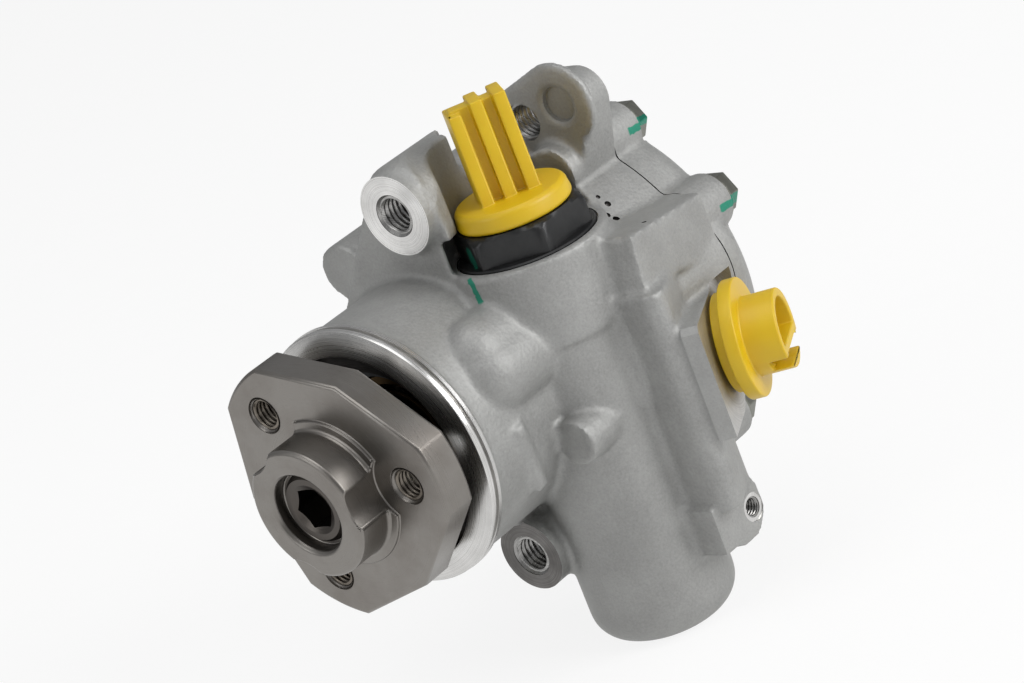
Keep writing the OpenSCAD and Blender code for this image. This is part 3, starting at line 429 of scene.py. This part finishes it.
# Turned spigot and upper boss: bright, with fine rings that streak the light.
turned_spigot = machined_aluminium(
    "turned_aluminium_spigot", (0, 0, 0), shaft_axis,
    "#C0BFBD", "#DAD9D7", rough=0.28, pitch=0.35)
faced_boss_top = machined_aluminium(
    "faced_aluminium_upper_boss", (upper[0], boss_face, upper[1]), shaft_axis,
    "#C6C5C3", "#EDECEA", rough=0.30, pitch=0.30)
# Lower boss: faced the same way, but painted dark as the shade it lies in under the flange.
faced_boss_low_painted_shade = machined_aluminium(
    "faced_aluminium_lower_boss_painted_shade", (lower[0], boss_face, lower[1]), shaft_axis,
    "#5E5C5A", "#82807E", rough=0.46, pitch=0.30)
# Inlet pad: milled flat, a soft pale sheen.
faced_pad = machined_aluminium(
    "faced_aluminium_inlet_pad", pad_at, pad_axis,
    "#B4B3B1", "#CFCECC", rough=0.52, pitch=0.45)
# Deep bores, blow holes and the cover joint: painted dark as the shade inside them. Other bores: plain grey
# cut metal.
bored_painted_shade = machined_aluminium(
    "bored_aluminium_painted_shade", (0, 0, 0), shaft_axis,
    "#3B3938", "#5C5A58", rough=0.42, pitch=0.30)
bored = machined_aluminium(
    "bored_aluminium", (*valve, 0), valve_axis,
    "#8E8D8B", "#B4B3B1", rough=0.32, pitch=0.40)

# Raw casting: the solid, with its bores filled and stock on the faces that are cut later.
wall_outline = [(-3, -30), (25.5, -30), (23.6, -41), (20.4, -52), (9, -50), (-3, -50)]
ridge_outline = [(-1.5, -30), (10.5, -30), (10.5, -46.5), (-1.5, -46.5)]
pad_outline = [(-17.8, -17.1), (-3, -17.1), (13.5, -10), (13.5, 12.6), (-16.3, 12.6), (-17.8, 11.1)]
stock = [
    nodes["pump_body"].data,
    slice_of("pump_body", low=97.0, high=99.5, shift=2.5),
    rod("fill_bearing", about_y(), r=31, low=19, high=70),
    rod("fill_cavity", about_y(), r=36, low=68, high=joint + 2),
    rod("fill_valve", on_valve, r=14, low=-66, high=34),
    rod("stock_valve", on_valve, r=20.3, low=28, high=33),
    rod("stock_upper", about_y(*upper), r=10.5, low=40, high=66),
    prism("stock_wall", about_y(), wall_outline, low=45.5, high=66),
    rod("stock_ridge", about_y(4.5, 46.5), r=8, low=60, high=88),
    prism("stock_ridge_foot", about_y(), ridge_outline, low=60, high=88),
    rod("stock_lower", about_y(*lower), r=9.5, low=40, high=66),
    rod("fill_ear", about_y(*ear_hole), r=6.5, low=88, high=101),
    rod("fill_dimple", about_y(*dimple), r=7.5, low=88, high=92),
    prism("stock_pad", pad_turn, pad_outline, low=-9, high=2),
    rod("fill_inlet", pad_turn, r=11.5, low=-28, high=1.5),
    rod("fill_lug", lug_turn, r=4.5, low=-13, high=-0.2, sides=48),
]


def round_wall(r, first, last, count):
    """Points on a circle about the valve bore, by angles in radians clockwise from -X."""
    angles = np.linspace(first, last, count)
    return [(valve[0] - r * math.cos(t), valve[1] + r * math.sin(t)) for t in angles]


# Room that the mould leaves around the cap and the union, open to the front and the right.
cap_room = [(21.2, 41)] + round_wall(15.2, -1.07, 1.57, 24) + [(48, 78.8), (48, 41)]
union_room = [(22.9, 40)] + round_wall(19.4, -0.82, 3.1, 40) + [(45.4, 63.6), (45.4, 40)]
rooms = [
    prism("room_cap", in_place, cap_room, low=41.0, high=80),
    prism("room_union", in_place, union_room, low=33, high=42),
    turned("room_dimple", about_y(*dimple), [(5.2, 80), (4.9, 89.6)]),
]
body = cast("body_casting", stock, rooms, voxel=0.72, passes=4, most_faces=150000, mat=cast_aluminium)


def square(half):
    """A square about the origin."""
    return [(-half, -half), (half, -half), (half, half), (-half, half)]


# Facing: the milled pad edge is joined first, then the faces are cut down to size.
joint_gap = 0.15
pad_sweep = [(-18.6, -18), (14.1, -18), (14.1, 14), (-18.6, 14)]
valve_seat = [(18.2, 32), (18.2, 41.9), (15, 41.9), (15, 75)]
pad_edge = prism("pad_edge", pad_turn, [(x - 0.5 if x < 0 else x, y) for x, y in pad_outline],
                 low=-4.4, high=2, mat=cast_aluminium)
cuts = [
    prism("cut_front", about_y(), square(60), low=-10, high=neck_front, mat=turned_spigot),
    prism("cut_joint", about_y(), square(90), low=joint - joint_gap, high=120, mat=bored),
    rod("cut_upper", about_y(*upper), r=12.6, low=30, high=boss_face, mat=faced_boss_top),
    # The lower boss face takes the finish painted dark as shade.
    rod("cut_lower", about_y(*lower), r=9.7, low=30, high=boss_face, mat=faced_boss_low_painted_shade),
    turned("cut_valve_top", on_valve, valve_seat, faced_boss_top),
    prism("cut_pad", pad_turn, pad_sweep, low=0, high=12, mat=faced_pad),
    rod("cut_lug", lug_turn, r=3.7, low=-0.3, high=6, mat=faced_boss_top, sides=64),
    turned("cut_dimple", about_y(*dimple), [(5.1, 80), (4.7, 90.0)], cast_aluminium, sides=64),
]
machine(body, [pad_edge], cuts)

# Turning and boring: the grooved spigot ring, the stepped shaft bore, the tapped holes and
# the small blow holes beside the union. Pairs are a radius and a place along the axis.
spigot_profile = [(26, 14.6), (28.8, 14.6), (34.2, 16.1), (34.4, 16.4), (34.4, 17.6), (33.7, 17.8),
                  (33.7, 18.3), (34.6, 18.5), (34.6, 19.5), (33.0, 21.1), (26, 21.1)]
shaft_bore = [(28.4, 10), (28.4, 20.6), (21, 20.7), (21, 23.4), (22.2, 23.4), (22.2, 25.2), (21, 25.2),
              (21, 37.2), (17.5, 37.2), (17.5, 46.7), (11, 46.7), (11, 59), (12, 59), (12, 75), (11, 75),
              (11, 76), (33, 76), (33, 105)]
m10_mouth = [(5.6, 30), (5.6, boss_face + 0.2), (5.03, boss_face + 0.7)]
blow_holes = (((32.7, 84.9, 33.8), 0.6), ((34.7, 85.1, 31.6), 0.9), ((36.3, 82.2, 29.9), 0.7),
              ((37.6, 82.9, 28.2), 1.0), ((50.2, 78.7, 28.6), 0.7))
spigot = turned("spigot", about_y(), spigot_profile, turned_spigot, sides=160)
bores = [
    # The shaft bore is painted dark as the shade deep inside it.
    turned("bore_shaft", about_y(), shaft_bore, bored_painted_shade),
    turned("bore_valve", on_valve, [(8.5, -64.1), (8.5, 18), (11.5, 18), (11.5, 50)], bored),
    turned("bore_inlet", pad_turn, [(6.5, -28), (6.5, -16), (9, -16), (9, 10)], faced_pad),
    turned("bore_upper", about_y(*upper), m10_mouth + [(5.03, 51.4), (0.3, 52.6)], bored),
    turned("bore_lower", about_y(*lower), m10_mouth + [(5.03, 54), (0.3, 56)], bored),
    rod("bore_ear", about_y(*ear_hole), r=5.03, low=80, high=110, mat=bored),
    rod("bore_lug", lug_turn, r=2.63, low=-12, high=5, mat=bored),
]
# The blow holes are painted dark as the shade inside them.
for at, r in blow_holes:
    ball = [(max(0.05, r * math.sin(t)), -r * math.cos(t)) for t in np.linspace(0, math.pi, 7)]
    bores.append(turned("pit", Matrix.Translation(at), ball, bored_painted_shade, sides=14))
for at in bolt_places:
    bores.append(rod("bore_bolt", about_y(*at), r=3, low=84, high=110, mat=bored, sides=32))
machine(body, [spigot], bores)
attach(body, "housing")
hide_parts("pump_body")


# Rear cover: a second aluminium casting, bolted on over the cartridge, with faced seats
# for the bolt heads and a round boss over the rear bush.
seat_face, cover_gap = 111.5, 0.2
stock = [
    nodes["rear_cover"].data,
    slice_of("rear_cover", low=100.5, high=103.0, shift=-2.5),
    rod("fill_bush", about_y(), r=12, low=98, high=114),
    rod("fill_groove", about_y(), r=45, low=98, high=106),
]
for at in bolt_places:
    stock.append(rod("stock_seat", about_y(*at), r=7.3, low=98, high=113.5, sides=48))
cover = cast("cover_casting", stock, [], voxel=0.75, passes=5, most_faces=70000, mat=cast_aluminium)
# The cover's joint face is painted dark as the shade in the narrow joint gap.
cuts = [prism("cut_cover_joint", about_y(), square(90), low=80, high=joint + cover_gap, mat=bored_painted_shade)]
for at in bolt_places:
    cuts.append(rod("cut_seat", about_y(*at), r=8.0, low=seat_face, high=125, mat=bored, sides=48))
for at in bolt_places:
    cuts.append(rod("cut_bolt_hole", about_y(*at), r=3.4, low=90, high=115, mat=bored, sides=32))
cuts.append(rod("cut_bush", about_y(), r=9, low=90, high=112, mat=bored))
machine(cover, [], cuts)
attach(cover, "housing")
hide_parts("rear_cover")


# Drive flange: forged steel, turned on the faces and milled to three lobes, oiled against
# rust. It carries the pulley and is pressed on the shaft.
def broken_edges(made, width, segments=2):
    """The small chamfer that deburring leaves on sharp edges, in millimetres."""
    joined = made.modifiers.new("joined", "WELD")
    joined.merge_threshold = 1e-6
    flat = made.modifiers.new("flat", "DECIMATE")
    flat.decimate_type = "DISSOLVE"
    flat.angle_limit = math.radians(0.6)
    edge = made.modifiers.new("edge", "BEVEL")
    edge.width = width * MM
    edge.segments = segments
    edge.limit_method = "ANGLE"
    edge.angle_limit = math.radians(32)
    edge.use_clamp_overlap = False
    made.data.shade_smooth()


def turned_steel(name, colour_low, colour_high, rough, pitch, stain, strokes=()):
    """Turned steel with its feed rings, a pitch apart in mm, and darker where oil has dried on it."""
    made, tree = material(name)
    place = add(tree, "ShaderNodeTexCoord")
    across = add(tree, "ShaderNodeVectorMath", {0: place.outputs["Object"], 1: (0, 1, 0)},
                 operation="CROSS_PRODUCT")
    radius = add(tree, "ShaderNodeVectorMath", {0: across.outputs[0]}, operation="LENGTH")
    part = add(tree, "ShaderNodeSeparateXYZ", {0: place.outputs["Object"]})
    feed = add(tree, "ShaderNodeMath", {0: radius.outputs["Value"], 1: part.outputs["Y"]}, operation="ADD")
    phase = add(tree, "ShaderNodeMath", {0: feed.outputs[0], 1: 1 / MM / pitch}, operation="MULTIPLY")
    rings = add(tree, "ShaderNodeTexNoise", {"W": phase.outputs[0], "Scale": 1.0, "Detail": 3.0},
                noise_dimensions="1D")
    oil = add(tree, "ShaderNodeTexNoise",
              {"Vector": place.outputs["Object"], "Scale": 55.0, "Detail": 5.0, "Roughness": 0.65})
    patch = add(tree, "ShaderNodeMapRange", {0: oil.outputs[0], 1: 0.42, 2: 0.72, 3: 0.0, 4: stain})
    turns = add(tree, "ShaderNodeMapRange", {0: rings.outputs[0], 1: 0.0, 2: 1.0, 3: 0.25, 4: 0.75})
    tint = add(tree, "ShaderNodeMix", {0: turns.outputs[0], 6: linear(colour_low), 7: linear(colour_high)},
               data_type="RGBA")
    tone = add(tree, "ShaderNodeMix", {0: patch.outputs[0], 6: tint.outputs[2], 7: linear("#5A5048")},
               data_type="RGBA")
    gloss = add(tree, "ShaderNodeMapRange",
                {0: rings.outputs[0], 1: 0.2, 2: 0.8, 3: rough - 0.08, 4: rough + 0.10})
    bump = add(tree, "ShaderNodeBump", {"Strength": 0.06, "Distance": 0.1 * MM, "Height": rings.outputs[0]})
    metal = add(tree, "ShaderNodeBsdfPrincipled",
                {"Base Color": painted(tree, place, tone.outputs[2], strokes), "Metallic": 1.0,
                 "Roughness": gloss.outputs[0], "Normal": bump.outputs[0]})
    add(tree, "ShaderNodeOutputMaterial", {0: metal.outputs[0]})
    return made


# Oiled turned steel: a warm mid grey with silky rings and faint brown patches.
oiled_steel = turned_steel("turned_steel_oiled", "#7B7874", "#96928D", rough=0.33, pitch=0.15, stain=0.35)
lobes, first_lobe, lobe_half, flat_half = 3, 3.3, 15, 14
tip_r, flat_r, hole_circle, plate_h, chamfer = 35.0, 30.0, 25.0, 9.5, 0.6
corner_r, lobe_step = flat_r / math.cos(math.radians(flat_half)), 360 / lobes
lobe_degrees = [first_lobe + lobe_step * k for k in range(lobes)]
plan = []
for middle in lobe_degrees:
    plan += [(tip_r, middle + step) for step in np.linspace(-lobe_half, lobe_half, 21)]
    plan.append((corner_r, middle + lobe_step / 2))
plate_rings = []
for inset, h in ((chamfer, 0.0), (0.0, chamfer), (0.0, plate_h - chamfer), (chamfer, plate_h)):
    plate_rings.append([(*polar(r - inset, -a), h) for r, a in plan])
nose_profile = [(16.3, -11), (17, -10.4), (17, -1.6), (17.5, -1.0), (19.5, -0.8), (19.5, 1)]
bore_profile = [(11, -12), (11, -11), (10.2, -10.2), (10.2, -7), (9, -7), (9, 22)]
m8_profile = [(4.7, -1), (4.7, 0.05), (4.03, 0.7), (4.03, 8.8), (4.7, 9.4), (4.7, 11)]
hole_places = [polar(hole_circle, a) for a in lobe_degrees]
flange = solid("drive_flange_turned", about_y(), plate_rings, oiled_steel)
adds = [
    turned("nose", about_y(), nose_profile, oiled_steel, sides=128),
    rod("hub", about_y(), r=15, low=9, high=21.4, mat=oiled_steel),
]
cuts = [turned("shaft_bore", about_y(), bore_profile, oiled_steel)]
for at in hole_places:
    cuts.append(rod("scallop", about_y(*at), r=10, low=-20, high=0, mat=oiled_steel))
    cuts.append(turned("pulley_hole", about_y(*at), m8_profile, oiled_steel, sides=64))
machine(flange, adds, cuts)
broken_edges(flange, 0.3)
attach(flange, "drive")
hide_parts("drive_flange")


# Drive shaft: alloy steel, turned and ground, with a hex socket forged in its front end.
# The steel is painted dark as the shade of its recessed end, with faint oil patches, so the socket reads as
# a deep hole.
def finish_node(node, mat):
    """Gives a node of the frame its material."""
    data = nodes[node].data
    data.materials.clear()
    data.materials.append(mat)


shaft_steel_painted_shade = turned_steel("alloy_steel_dark_painted_shade", "#45423F", "#66625E",
                           rough=0.36, pitch=0.20, stain=0.30)
finish_node("drive_shaft", shaft_steel_painted_shade)


# Screw threads: cut ridges inside the tapped holes, one sleeve for each hole. The crests
# catch the light and the roots stay dark.
def thread(name, turn, crest, root, pitch, low, high, body_name, slot_name, mat):
    """A threaded sleeve along local Z, in millimetres."""
    sides, steps, wall = 40, 8, 0.02
    slope, flat = 2.6, 0.35
    levels = int((high - low) / pitch * steps)
    rings = []
    for i in range(levels + 1):
        h = low + (high - low) * i / levels
        ring = []
        for k in range(sides):
            w = (h / pitch - k / sides) % 1.0
            lift = min(1.0, max(0.0, abs(w - 0.5) * slope - flat))
            r = crest + (root - crest) * lift
            ring.append((r * math.cos(2 * math.pi * k / sides), r * math.sin(2 * math.pi * k / sides), h))
        rings.append(ring)
    rings += [[(x, y, h) for x, y in on_circle(root + wall, sides)] for h in (high, low)]
    made = solid(name, turn, rings, mat, closed=True)
    made.data.shade_smooth()
    made.data.set_sharp_from_angle(angle=math.radians(50))
    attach(made, body_name)


tapped = machined_aluminium("tapped_aluminium", (0, 0, 0), shaft_axis,
                            "#8A8987", "#B9B8B6", rough=0.30, pitch=0.5)
tapped_steel = turned_steel("tapped_steel", "#6B655D", "#938C82", rough=0.34, pitch=0.5, stain=0.5)
# Radius at the crest, radius at the root, and pitch.
m10, m6, m8 = (4.25, 5.0, 1.5), (2.1, 2.6, 0.9), (3.4, 4.0, 1.25)
for name, turn, size, low, high in (
        ("thread_upper", about_y(*upper), m10, 42.7, 51.3),
        ("thread_lower", about_y(*lower), m10, 42.7, 53.8),
        ("thread_ear", about_y(*ear_hole), m10, 88.6, 99.8),
        ("thread_lug", lug_turn, m6, -11.5, -0.5)):
    thread(name, turn, *size, low, high, "housing", "cast_aluminium", tapped)
for k, at in enumerate(hole_places):
    name = "thread_pulley_%d" % (k + 1)
    thread(name, about_y(*at), *m8, 0.7, 8.8, "drive", "turned_steel", tapped_steel)


# Cover bolts: M6 flanged hex bolts, zinc plated and dull, with a paint stripe on two heads.
# The plating is a greenish grey with soft highlights.
bolt_strokes = (((27.2, 114.0, 41.0), across_stripe, 1.2, 8.0),
                ((48.6, 114.0, 18.2), across_stripe, 1.2, 8.0))
dull_zinc = turned_steel("zinc_plated_steel_dull", "#6E6F68", "#9A9B92",
                         rough=0.42, pitch=0.4, stain=0.35, strokes=bolt_strokes)
broken_edges(nodes["cover_bolts"], 0.3)
finish_node("cover_bolts", dull_zinc)


# Outlet union: a hex steel union with a thin round rim, screwed on the valve bore, with one
# stroke of marking paint. Black oxide gives a deep, cloudy black with a low oily sheen.
union_strokes = (((21.0, 49.2, 35.7), (0.652, 0.750, 0.102), 0.6, 3.2),)
black_oxide, tree = material("steel_black_oxide")
place = add(tree, "ShaderNodeTexCoord")
cloud = add(tree, "ShaderNodeTexNoise",
            {"Vector": place.outputs["Object"], "Scale": 180.0, "Detail": 5.0, "Roughness": 0.6})
tone = add(tree, "ShaderNodeMix", {0: cloud.outputs[0], 6: linear("#262728"), 7: linear("#464646")},
           data_type="RGBA")
gloss = add(tree, "ShaderNodeMapRange", {0: cloud.outputs[0], 1: 0.3, 2: 0.7, 3: 0.30, 4: 0.46})
fine = add(tree, "ShaderNodeTexNoise", {"Vector": place.outputs["Object"], "Scale": 1400.0, "Detail": 2.0})
bump = add(tree, "ShaderNodeBump", {"Strength": 0.2, "Distance": 0.1 * MM, "Height": fine.outputs[0]})
metal = add(tree, "ShaderNodeBsdfPrincipled",
            {"Base Color": painted(tree, place, tone.outputs[2], union_strokes), "Metallic": 0.8,
             "Roughness": gloss.outputs[0], "Normal": bump.outputs[0]})
add(tree, "ShaderNodeOutputMaterial", {0: metal.outputs[0]})

hex_half, rim_r = 15, 17.75
degrees = range(0, 360, 3)
hexagon = [hex_half / math.cos(math.radians((a + 30) % 60 - 30)) for a in degrees]
rim_levels = [(rim_r - 0.45, 32.0), (rim_r, 32.4), (rim_r, 33.1), (rim_r - 0.35, 33.5)]
hex_levels = [(17.1, 33.6), (17.1, 39.5), (16.2, 40.3), (14.9, 41.0)]
levels = [([r] * len(degrees), h) for r, h in rim_levels]
levels += [([min(r, most) for r in hexagon], h) for most, h in hex_levels]
union_rings = [[(*polar(r, a), h) for r, a in zip(radii, degrees)] for radii, h in levels]
union = solid("union_hex", on_valve, union_rings, black_oxide)
adds = [turned("union_stem", on_valve, [(6, 8), (6, 19.5), (11.4, 19.5), (11.4, 32.2)], black_oxide)]
cuts = [turned("union_port", on_valve, [(2.5, 5), (2.5, 26), (7.25, 26), (7.25, 45)], black_oxide)]
machine(union, adds, cuts)
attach(union, "housing")
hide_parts("outlet_union")


# Transport cap and plug: soft yellow polyethylene, injection moulded, pressed into the ports.
# The plastic is waxy: light goes a little way in, and faint flow marks cloud the colour.
yellow_plastic, tree = material("polyethylene_yellow_moulded")
place = add(tree, "ShaderNodeTexCoord")
flow = add(tree, "ShaderNodeTexNoise", {"Vector": place.outputs["Object"], "Scale": 90.0, "Detail": 3.0})
tone = add(tree, "ShaderNodeMix", {0: flow.outputs[0], 6: linear("#C7A20E"), 7: linear("#DAB816")},
           data_type="RGBA")
gloss = add(tree, "ShaderNodeMapRange", {0: flow.outputs[0], 1: 0.3, 2: 0.7, 3: 0.38, 4: 0.50})
fine = add(tree, "ShaderNodeTexNoise", {"Vector": place.outputs["Object"], "Scale": 1200.0, "Detail": 2.0})
bump = add(tree, "ShaderNodeBump", {"Strength": 0.12, "Distance": 0.1 * MM, "Height": fine.outputs[0]})
plastic = add(tree, "ShaderNodeBsdfPrincipled",
              {"Base Color": tone.outputs[2], "Roughness": gloss.outputs[0], "IOR": 1.51,
               "Subsurface Weight": 0.12, "Subsurface Radius": (0.004, 0.002, 0.0005),
               "Normal": bump.outputs[0]})
add(tree, "ShaderNodeOutputMaterial", {0: plastic.outputs[0]})
for node in ("outlet_cap", "inlet_plug"):
    broken_edges(nodes[node], 0.45, segments=3)
    finish_node(node, yellow_plastic)


# Inner pieces: bearing, seal, bushes, cartridge and valve, each in its plain workshop finish:
# ground steel bright and smooth, bronze brown with oil and painted darker as the shade of the gap it shows
# through, spring steel dark, copper warm.
ground_steel = turned_steel("ground_steel", "#8F8A84", "#C2BDB6", rough=0.28, pitch=0.20, stain=0.30)
# Bronze: oil brown, and painted darker as shade, since the bearing cage shows in a dark gap.
bronze = turned_steel("sintered_bronze_oil_and_painted_shade", "#5E4A2C", "#80663E", rough=0.40, pitch=0.4, stain=0.25)
spring_steel = turned_steel("spring_steel_drawn", "#54575B", "#85888C", rough=0.34, pitch=0.3, stain=0.2)
copper = turned_steel("copper_annealed", "#A4673C", "#C98A5C", rough=0.36, pitch=0.4, stain=0.2)
# Moulded nitrile rubber: nearly black and matt, with a fine grain.
rubber, tree = material("nitrile_rubber_moulded")
place = add(tree, "ShaderNodeTexCoord")
fine = add(tree, "ShaderNodeTexNoise", {"Vector": place.outputs["Object"], "Scale": 800.0, "Detail": 3.0})
tone = add(tree, "ShaderNodeMix", {0: fine.outputs[0], 6: linear("#1A1A1B"), 7: linear("#2A2928")},
           data_type="RGBA")
bump = add(tree, "ShaderNodeBump", {"Strength": 0.15, "Distance": 0.1 * MM, "Height": fine.outputs[0]})
soft = add(tree, "ShaderNodeBsdfPrincipled",
           {"Base Color": tone.outputs[2], "Roughness": 0.62, "IOR": 1.52, "Normal": bump.outputs[0]})
add(tree, "ShaderNodeOutputMaterial", {0: soft.outputs[0]})
bearing = ["bearing_outer_ring", "bearing_inner_ring", "bearing_balls"]
cartridge = ["cam_ring", "rotor", "front_plate", "rear_plate", "dowel_pins"]
cartridge += ["vane_%d" % k for k in range(1, 11)]
valve_pieces = ["flow_spool", "relief_seat", "relief_ball", "relief_guide"]
for mat, group in (
        (ground_steel, bearing + cartridge + valve_pieces),
        (bronze, ["bearing_cage", "shaft_bush", "cover_bush"]),
        (spring_steel, ["bearing_circlip", "rotor_circlip"]),
        (rubber, ["shaft_seal", "cover_o_ring", "plate_o_ring"]),
        (copper, ["union_washer"])):
    for node in group:
        finish_node(node, mat)


# Valve springs: drawn spring steel wire, wound with flat ends, each between its seat and a sliding piece.
for node, below, above in (("flow_spring", "housing", "valve_spool"),
                           ("relief_spring", "relief_poppet", "valve_spool")):
    low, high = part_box(node)
    wire = put(node + "_wire", nodes[node].data.copy())
    wire.matrix_world = nodes[node].matrix_world
    wire.data.materials.clear()
    wire.data.materials.append(spring_steel)
    wire.data.shade_smooth()
    wire.data.set_sharp_from_angle(angle=math.radians(50))
    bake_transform(wire)
    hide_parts(node)
